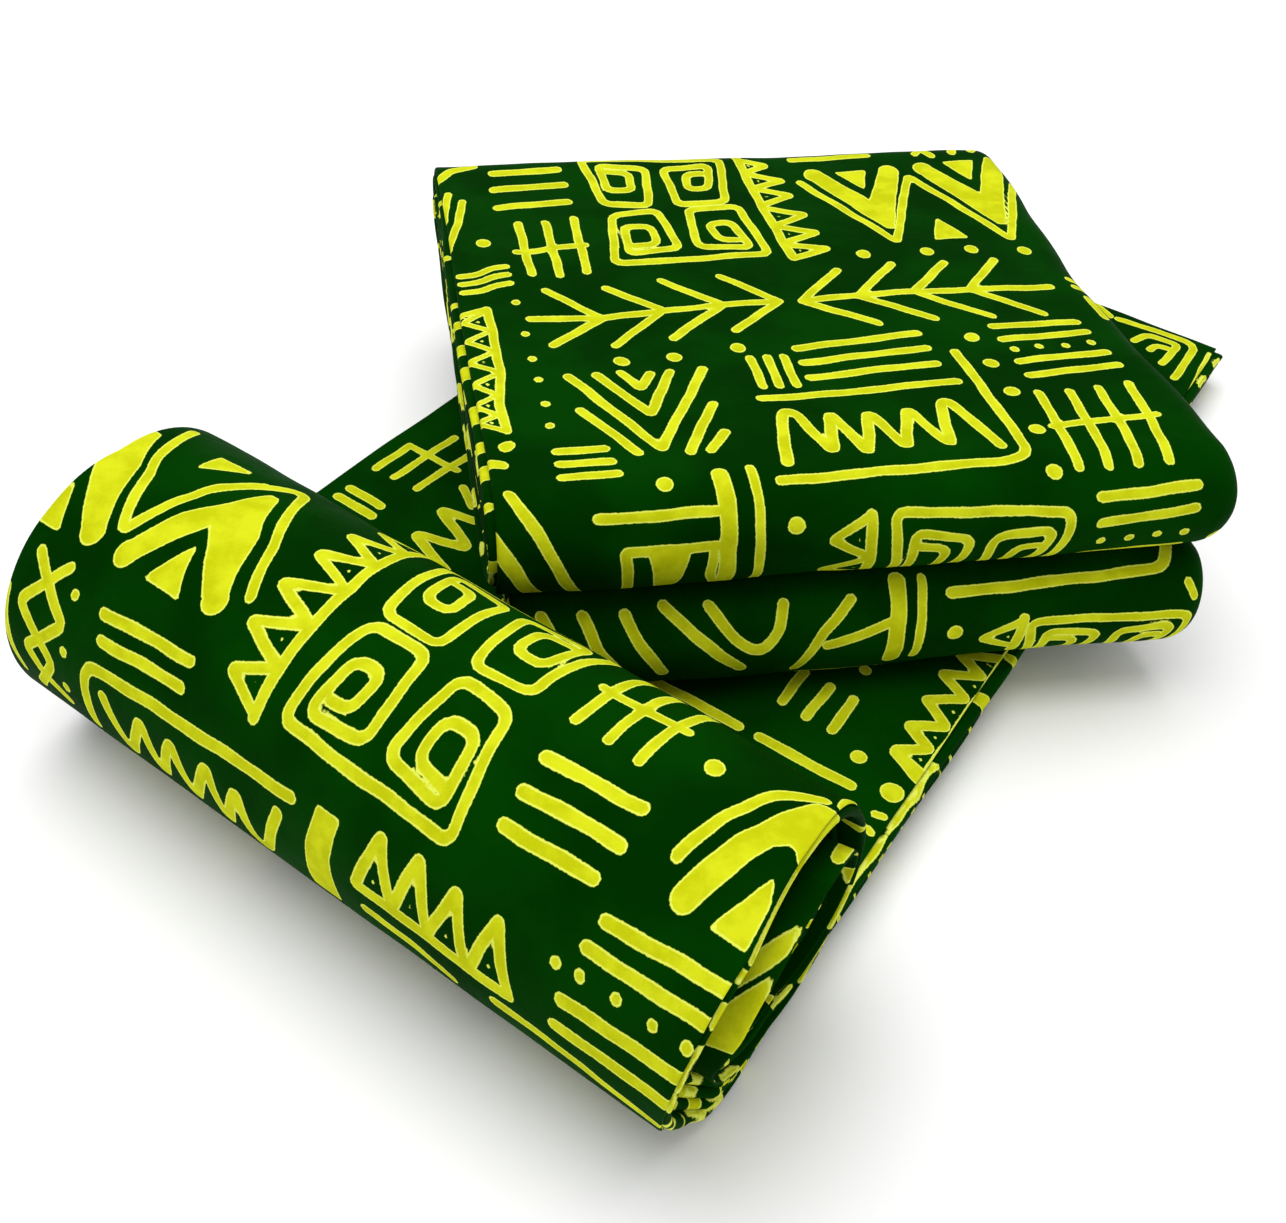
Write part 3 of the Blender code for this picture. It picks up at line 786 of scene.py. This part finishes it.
# How far the plies and the inner folds stand out under a bundle's open edge
PLIES_OUT = {"lower_bundle": (0.0008, 0.0016, 0.0004, 0.0012, 0.0008, 0.0018, 0.0006),
             "upper_bundle": (0.0031, 0.0019, 0.0026, 0.0016, 0.0020, 0.0024, 0.0018)}
OPEN_EDGE = {"lower_bundle": 0.0054, "upper_bundle": 0.0005}     # where a cover's open edge lies across it
FOLDS_IN = (0.0014, 0.0030, 0.0018)     # how far in from its right end a bundle's fat folds stop
EDGE_REACH = 0.02                       # how far in from an edge its own shape fades
LOOP_SPANS = ((0.0, 0.04, 0.0022), (0.04, 0.57, 0.0026), (0.57, 0.96, 0.005), (0.96, 1.0, 0.0025))


def out_share(t, total):
    """How much of their way the plies stand out: less at the back fold than further on."""
    return 0.4 + 0.6 * ease((np.minimum(t, total - t) - 0.02) / 0.13)


def cover_part(name, total, signs, squeeze, spans, seed):
    """The cloth that goes once round a bundle."""
    left, right = OPEN_EDGE[name], BUNDLES[name][3]
    t = loop_rows(total, spans)
    across, inset = cover_section(left, right).T[:, None]
    wave = ripple(t, (0.0009, 41.0, seed), (0.0006, 97.0, 2.0 * seed)) * near(right - across, 0.05)
    wave = wave + ripple(t, (0.0005, 33.0, seed + 1.0)) * near(across - left, 0.03)
    rise = unevenness(across, t, seed) * (1.0 - 0.65 * near(across - left, EDGE_REACH))
    rise = rise + creases(name, across, t)
    fields = print_fields(signs, *chart_place(across + wave, t), squeeze)
    fields[:, np.broadcast_to(inset > UNPRINTED, (len(t), across.size)).ravel()] = FAR
    cover = Cloth()
    cover.add(bundle_point(name, across + wave, t, rise - inset), True, (across - left, t), fields)
    return cover


def open_plies(name, total, seed, side):
    """The plies that show one under another at a bundle's open left edge."""
    left = OPEN_EDGE[name]
    t = loop_rows(total, LOOP_SPANS)
    plies = Cloth()
    for number in range(1, OPEN_PLIES + 1):
        across, inset = ply_section(left, PLY * number + 0.5 * PLY_GAP)
        wave = ripple(t, (0.0005, 29.0, 1.9 * number + seed), (0.0003, 71.0, 2.7 * number))
        wave = (wave - PLIES_OUT[name][number - 1] * out_share(t, total)) * near(across - left, EDGE_REACH)
        swell = ripple(t, (0.00012, 53.0, 2.1 * number))
        marks = edge_signs(seed + number, MM * total)
        if side:
            shown = side if number == 1 else rim_signs(number)
            marks = shown + [sign for sign in marks if sign[1][0, 1] > 0.5 * MM * total
                             or (number > 1 and sign[1][0, 1] < RIM_SIGNS_FROM)]
        fields = print_fields(marks, *chart_place(across - left, t))
        plies.add(bundle_point(name, across + wave, t, swell - inset), True,
                  (across - left, t + 0.01 * number), fields)
    return plies


def folded_plies(name, total, seed):
    """The fat folds that show under the cover's own at a bundle's right end."""
    right = BUNDLES[name][3]
    t = loop_rows(total, LOOP_SPANS)
    plies = Cloth()
    for number in range(FOLDED_PLIES):
        stop = right - FOLDS_IN[number]
        across, inset = ply_section(stop - PLY_DEPTH, FOLD_HEIGHT + PLY * number)
        wave = ripple(t, (0.0010, 31.0, 1.3 * number + seed)) * near(right - across, EDGE_REACH)
        marks = edge_signs(seed + 7 + number, MM * total)
        fields = print_fields(marks, *chart_place(stop - across, t))
        plies.add(bundle_point(name, across + wave, t, -inset), True,
                  (stop - across, t + 0.02 * number), fields)
    return plies


def inner_folds(name, total, seed):
    """The flat folds in a bundle's middle, between its upper and its lower plies."""
    left, right = OPEN_EDGE[name], BUNDLES[name][3]
    flat = loop_rows(total, ((0.025, 0.465, 0.004),))
    deepest = PLY * (OPEN_PLIES + 1) + PLY_GAP
    share = np.minimum(np.arange(len(flat)), np.arange(len(flat))[::-1]) / 3.0
    tips = np.sqrt(np.clip(share, 0.02, 1.0))[:, None]
    core = Cloth()
    for number in range(INNER_FOLDS):
        middle, half = -1.0 + (2 * number + 1) / INNER_FOLDS, 1.0 / INNER_FOLDS - 0.03
        section = slot_section(left, right - PLY_DEPTH, middle - half, middle + half, 0.03, 0.03,
                               radius=0.0018)
        across, level = section.T[:, None]
        out = PLIES_OUT[name][OPEN_PLIES + number] * out_share(flat, total) * (across < left + EDGE_REACH)
        upper, lower = (bundle_point(name, across - out, place + 0 * across, -deepest)
                        for place in (flat, total - flat))
        height = 0.5 + 0.5 * (middle + (level - middle) * tips)
        marks = edge_signs(seed + 20 + number, MM * total)
        core.add(lower + (upper - lower) * height[..., None], False, (across - left, flat),
                 print_fields(marks, *chart_place(across - left, flat)))
    return core


def bundle_pieces(name, signs, squeeze, spans, material, seed, side=None):
    """A bundle's cover, the plies at its open and at its folded end, and its innermost folds."""
    total = outline(*BUNDLES[name][:3])[3]
    parts = {"_cover": cover_part(name, total, signs, squeeze, spans, seed),
             "_open_plies": open_plies(name, total, seed, side),
             "_folded_plies": folded_plies(name, total, seed),
             "_inner_folds": inner_folds(name, total, seed)}
    return [part.piece(name + ending, material, name) for ending, part in parts.items()]


# The band's plies: a thin one, four folds and a thin one, counted from the floor side, the roll's outside
BAND_WIDTH = 0.292
PLY_LEVELS = (-1.0, -0.84, -0.42, 0.0, 0.42, 0.84, 1.0)
LEVEL_GAP = 0.012
TOP_PLY = len(PLY_LEVELS) - 2
# How far in mm each ply stands out of the band's right edge; columns: turn, then the plies in order
EDGE_OUT = np.array((
    (-0.15, -4.0, -3.0, -1.5, 0.5, 1.6, -2.0),
    (0.00, -3.0, -1.0, 0.5, 1.8, 2.2, 0.0),
    (0.08, -2.0, 5.0, 7.0, 7.0, 7.0, 5.0),
    (0.14, -1.0, 3.0, 0.0, -2.0, -3.0, -4.0),
    (0.20, 0.0, 2.0, -6.0, -8.0, -8.0, -8.0),
    (0.30, 0.0, 1.4, -10.0, -12.0, -12.0, -10.0),
    (0.65, 0.0, 1.8, -10.0, -12.0, -12.0, -10.0),
    (0.80, 0.0, 1.0, -3.0, -4.0, -3.0, -2.0),
    (1.10, 0.0, -4.0, -5.0, -4.4, -5.2, -4.0),
    (1.80, 0.0, -4.0, -5.0, -4.4, -5.2, -4.0),
    (2.50, 0.0, 0.5, -1.0, 0.6, -0.5, 0.0),
))
PLY_WAVE = (0.0005, 0.0007, 0.0008, 0.0008, 0.0006, 0.0004)
LEFT_OUT = (0.0, 0.0008, -0.0004, 0.0005, 0.0007, 0.0001)
RIGHT_REACH, LEFT_REACH = 0.05, 0.03     # how far in from each edge the plies are shifted
OUTER_LEFT = 0.8        # the turn at which the outer wrap goes under the next
FLARE = 0.0042          # how far the second wrap opens outward at its right rim
FLARE_AT = ((1.3, 1.5, 1.75, 1.9), (0.0, 1.0, 1.0, 0.0))     # turns, share of it
OUTER_SHARE = 0.068     # how far the outer ply may sink before it meets the next, as a share of all plies
CREASED_FROM = 0.53     # the outer ply is smooth up to here, under the band
UPPER_UNEVEN = 0.40     # the upper ply is uneven up to here, where the roll presses it
# The roll's print lies straighter across it than its slid edge: turns, slide of the print
PRINT_SLIDE = ((0.0, 0.25, 0.50, 0.85, 1.0, 1.2), (0.0, 0.001, 0.001, 0.004, 0.003, 0.004))
END_STEPS = np.array((0.0, 0.0005, 0.0014, 0.0030))     # rows at each end of the band
END_THICK = (0.25, 0.62, 0.90, 1.0)     # and how thick it is there
END_ROOM = 0.0036
RUN_START = RUN[np.argmax(LINE[:, 3] > 0.0)]    # where the roll starts
RUN_END = RUN[-1]


def run_rows(spans):
    """Places along the band, as a column, close together at its rounded ends."""
    rows = np.concatenate([spread(*span) for span in spans])
    middle = rows[(rows > END_ROOM) & (rows < RUN_END - END_ROOM)]
    return np.concatenate((END_STEPS, middle, RUN_END - END_STEPS[::-1]))[:, None]


def outer_rise(across, run, turn, thick):
    """How far the roll's outer ply stands out of its form: uneven, creased, flared at the second wrap."""
    rise = unevenness(across, run, 2.0) * near(turn - OUTER_LEFT, 0.1) + creases("roll", across, run)
    room = OUTER_SHARE * thick
    rise = np.where(rise < 0.0, -room * np.tanh(-rise / room), rise)
    flared = np.interp(turn, *FLARE_AT) * near(across, 0.03)
    return rise * (1.0 - near(run - CREASED_FROM, 0.05)) + FLARE * flared


def band_ply(cloth, number, spans, fine_low, fine_high, seed):
    """One ply of the band from its back end to the roll's eye."""
    run = run_rows(spans)
    low, high = PLY_LEVELS[number] + LEVEL_GAP, PLY_LEVELS[number + 1] - LEVEL_GAP
    middle = 0.5 * (low + high)
    bead = 0.0008 if number in (0, TOP_PLY) else 0.0017
    across, flat_level = slot_section(0.0, BAND_WIDTH, low, high, fine_low, fine_high, 6, bead).T[:, None]
    tips = np.interp(np.minimum(run, RUN_END - run), END_STEPS, END_THICK)
    level = middle + (flat_level - middle) * tips
    _, _, thick, turn = columns_at(run, RUN, LINE)
    wave = PLY_WAVE[number] * ripple(run, (1.0, 23.0, 1.7 * number + seed), (0.6, 61.0, 2.3 * number))
    wound = np.where(turn > 0.0, turn, (run - RUN_START) / 0.33)
    out = np.interp(wound, EDGE_OUT[:, 0], EDGE_OUT[:, number + 1]) / MM
    shift = (LEFT_OUT[number] + wave) * near(BAND_WIDTH - across, LEFT_REACH)
    shift = shift - (out + wave) * near(across, RIGHT_REACH)
    rise = 0.0 * run
    if number == TOP_PLY:
        rise = -0.8 * np.abs(unevenness(across, run, 5.0)) * near(run - UPPER_UNEVEN, 0.08)
    if number == 0:
        rise = outer_rise(across, run, turn, thick)
    x, y = chart_place(across, run)
    fields = np.minimum(print_fields(ribbon_signs(number, seed, MM * RUN_END), x, y),
                        print_fields(edge_signs(seed + 5 * number, MM * RUN_END), MM * BAND_WIDTH - x, y))
    if number == 0:
        slid = np.interp(turn, WRAP_SLIDE[:, 0], WRAP_SLIDE[:, 1]) - np.interp(turn, *PRINT_SLIDE)
        straight = across + shift - slid * (1.0 - across / BAND_WIDTH) * (turn < 1.2)
        print_face(fields, flat_level < middle, ROLL_SIGNS + WRAP_SIGNS, straight, run)
    if number == TOP_PLY:
        print_face(fields, (flat_level > middle) & (turn < 0.02), STRIP_SIGNS, across + shift, run)
    points = band_point(run, (across + shift) / BAND_WIDTH, level, rise)
    cloth.add(points, False, (across, run), fields)


def print_face(fields, face, signs, across, run):
    """Print the signs on one face of a ply, instead of what its edges carry."""
    x, y = chart_place(across, run)
    face = np.broadcast_to(face, x.shape).ravel()
    fields[:, face] = print_fields(signs, x, y)[:, face]


def band_pieces(material, seed):
    outer, upper, inner = Cloth(), Cloth(), Cloth()
    band_ply(outer, 0, ((0.0, 0.50, 0.012), (0.50, 0.548, 0.004), (0.548, 0.680, FINE), (0.680, 0.786, FAIR),
                        (0.786, 0.90, 0.0026), (0.90, RUN_END, 0.0036)), FINE, 0.024, seed)
    band_ply(upper, TOP_PLY, ((0.0, 0.11, FINE), (0.11, 0.27, FAIR), (0.27, 0.47, FINE),
                              (0.47, RUN_END, 0.0044)), 0.024, FINE, seed)
    for number in range(1, TOP_PLY):
        band_ply(inner, number, ((0.0, RUN_END, 0.0030),), 0.05, 0.05, seed)
    return [part.piece("rolled_band_" + ending, material, "rolled_band")
            for part, ending in ((outer, "outer_ply"), (upper, "upper_ply"), (inner, "inner_plies"))]


# Printed cotton
def fill(node, values):
    """Put a value or a link on each socket that is named or counted."""
    for name, value in values.items():
        if isinstance(value, bpy.types.NodeSocket):
            node.id_data.links.new(value, node.inputs[name])
        else:
            node.inputs[name].default_value = value


def add_node(tree, kind, values=None, **settings):
    node = tree.nodes.new("ShaderNode" + kind)
    for name, value in settings.items():
        setattr(node, name, value)
    fill(node, values or {})
    return node


def sums(tree, operation, *values):
    return add_node(tree, "Math", dict(enumerate(values)), operation=operation).outputs[0]


def ramp(tree, value, low, high, start=0.0, stop=1.0):
    limits = {"Value": value, "From Min": low, "From Max": high, "To Min": start, "To Max": stop}
    return add_node(tree, "MapRange", limits, interpolation_type="SMOOTHSTEP").outputs["Result"]


def blend(tree, factor, first, second):
    first, second = (value if isinstance(value, bpy.types.NodeSocket) else (*value, 1.0)
                     for value in (first, second))
    return add_node(tree, "Mix", {0: factor, 6: first, 7: second}, data_type="RGBA").outputs[2]


def noise(tree, place, scale, detail=2.0, roughness=0.5):
    values = {"Vector": place, "Scale": scale, "Detail": detail, "Roughness": roughness}
    return add_node(tree, "TexNoise", values).outputs["Fac"]


def attribute_parts(tree, name):
    """The parts of a place or distance that is kept on the cloth's points."""
    kept = add_node(tree, "Attribute", attribute_name=name).outputs["Vector"]
    return add_node(tree, "SeparateXYZ", {0: kept}).outputs


GREEN = ((0.0004, 0.024, 0.0002), (0.0008, 0.039, 0.0004))
YELLOW = ((0.51, 0.545, 0.004), (0.64, 0.69, 0.012))
PALE_RIM = (0.74, 0.82, 0.10)
THREADS = 2.0 * math.pi / 0.00052       # the weave's pitch, as an angle for each metre
FRAY = 0.5                              # how far in mm the dye strays at a sign's edge
EDGE_SOFT = 0.16
RIM_START, RIM_STOP = -0.75, -0.35      # the pale rim, in mm inside a sign
WEAVE_HEIGHT, RUMPLE_HEIGHT = 0.00004, 0.0011
ROUGHNESS, ROUGHER = 0.54, 0.08


def printed_cotton(name):
    material = bpy.data.materials.new(name)
    material.use_nodes = True
    tree = material.node_tree
    where = add_node(tree, "TexCoord").outputs["Object"]
    odd, even, _ = attribute_parts(tree, "print_distance")
    across, along, _ = attribute_parts(tree, "cloth_place")
    fray = sums(tree, "MULTIPLY_ADD", noise(tree, where, 900.0, 1.0), FRAY, -0.5 * FRAY)
    distance = sums(tree, "ADD", sums(tree, "MINIMUM", odd, even), fray)
    patchy = ramp(tree, noise(tree, where, 75.0, 4.0, 0.6), 0.36, 0.66)
    inside = ramp(tree, distance, RIM_START, RIM_STOP, 1.0, 0.0)
    yellow = blend(tree, inside, PALE_RIM, blend(tree, patchy, *YELLOW))
    green = blend(tree, ramp(tree, noise(tree, where, 22.0, 3.0), 0.34, 0.68), *GREEN)
    warp, weft = (sums(tree, "SINE", sums(tree, "MULTIPLY", part, THREADS)) for part in (across, along))
    rumple = sums(tree, "MULTIPLY", noise(tree, where, 130.0, 3.0, 0.55), RUMPLE_HEIGHT)
    height = sums(tree, "MULTIPLY_ADD", sums(tree, "MULTIPLY", warp, weft), WEAVE_HEIGHT, rumple)
    bump = add_node(tree, "Bump", {"Strength": 0.55, "Distance": 1.0, "Height": height})
    fill(tree.nodes["Principled BSDF"], {
        "Base Color": blend(tree, ramp(tree, distance, -EDGE_SOFT, EDGE_SOFT, 1.0, 0.0), green, yellow),
        "Normal": bump.outputs["Normal"],
        "Roughness": sums(tree, "MULTIPLY_ADD", patchy, ROUGHER, ROUGHNESS),
        "Sheen Weight": 0.012,
        "Sheen Roughness": 0.45,
        "Sheen Tint": (0.10, 0.80, 0.06, 1.0),
        "Specular IOR Level": 0.006,
        "Specular Tint": (0.12, 1.0, 0.08, 1.0),
    })
    return material


# The pile
def declare(node):
    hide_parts(node)


stack_spans = ((0.0, 0.045, 0.0026), (0.045, 0.60, FINE), (0.60, 0.95, 0.006), (0.95, 1.0, 0.0030))
lower_spans = ((0.0, 0.05, 0.0026), (0.05, 0.45, 0.007), (0.45, 0.60, FINE), (0.60, 0.95, 0.008),
               (0.95, 1.0, 0.0026))
lower_length, upper_length = (MM * outline(*BUNDLES[name][:3])[3] for name in BUNDLES)
band_cotton, lower_cotton, upper_cotton = (printed_cotton(name + "_cotton")
                                           for name in ("rolled_band", "lower_bundle", "upper_bundle"))
band = band_pieces(band_cotton, 1.0)
lower = bundle_pieces("lower_bundle", LOWER_SIGNS + BACK_SIGNS + shifted(BACK_SIGNS, 0, lower_length), None,
                      lower_spans, lower_cotton, 2.6)
upper = bundle_pieces("upper_bundle", STACK_SIGNS + shifted(BACK_SIGNS, 0, upper_length + 6.0), stack_squeeze,
                      stack_spans, upper_cotton, 4.1, SIDE_SIGNS)
declare("rolled_band")
declare("lower_bundle")
declare("upper_bundle")


# Floor, light and camera
FLOOR_HALF = 6.0


def floor():
    mesh = bpy.data.meshes.new("floor")
    corners = [(x * FLOOR_HALF, y * FLOOR_HALF, 0.0) for x, y in ((-1, -1), (1, -1), (1, 1), (-1, 1))]
    mesh.from_pydata(corners, [], [(0, 1, 2, 3)])
    material = bpy.data.materials.new("pale_floor")
    material.use_nodes = True
    fill(material.node_tree.nodes["Principled BSDF"],
         {"Base Color": (0.97, 0.97, 0.97, 1.0), "Roughness": 0.9, "Specular IOR Level": 0.1})
    mesh.materials.append(material)
    item = bpy.data.objects.new("floor", mesh)
    bpy.context.scene.collection.objects.link(item)


def softbox(name, place, target, size, power):
    data = bpy.data.lights.new(name, "AREA")
    data.shape = "DISK"
    data.size = size
    data.energy = power
    lamp = bpy.data.objects.new(name, data)
    lamp.location = place
    lamp.rotation_euler = (lamp.location - Vector(target)).to_track_quat("Z", "Y").to_euler()
    bpy.context.scene.collection.objects.link(lamp)


SENSOR = 36.0
FOCAL_PIXELS, PHOTO_PIXELS = 1600.0, 1286.0     # the lens's length and the photo's width, both in its pixels


def camera():
    """The photo's camera, solved from the pile's outlines."""
    right, up = Vector((0.99028, -0.13266, 0.04175)), Vector((0.05852, 0.66977, 0.74026))
    ahead = Vector((0.12617, 0.73062, -0.67103))
    data = bpy.data.cameras.new("camera")
    data.sensor_width = SENSOR
    data.lens = SENSOR * FOCAL_PIXELS / PHOTO_PIXELS
    item = bpy.data.objects.new("camera", data)
    turn = Matrix((right, up, -ahead)).transposed().to_4x4()
    turn.translation = (-0.12829, -0.54713, 0.4647)
    item.matrix_world = turn
    bpy.context.scene.collection.objects.link(item)
    bpy.context.scene.camera = item


floor()
world = bpy.data.worlds.new("studio")
bpy.context.scene.world = world
world.use_nodes = True
fill(world.node_tree.nodes["Background"], {"Color": (1.0, 1.0, 1.0, 1.0), "Strength": 0.62})
softbox("overhead_light", (-0.3, 0.1, 2.4), (0.0, 0.0, 0.0), 2.6, 48.0)
camera()
bpy.context.scene.view_settings.view_transform = "Standard"
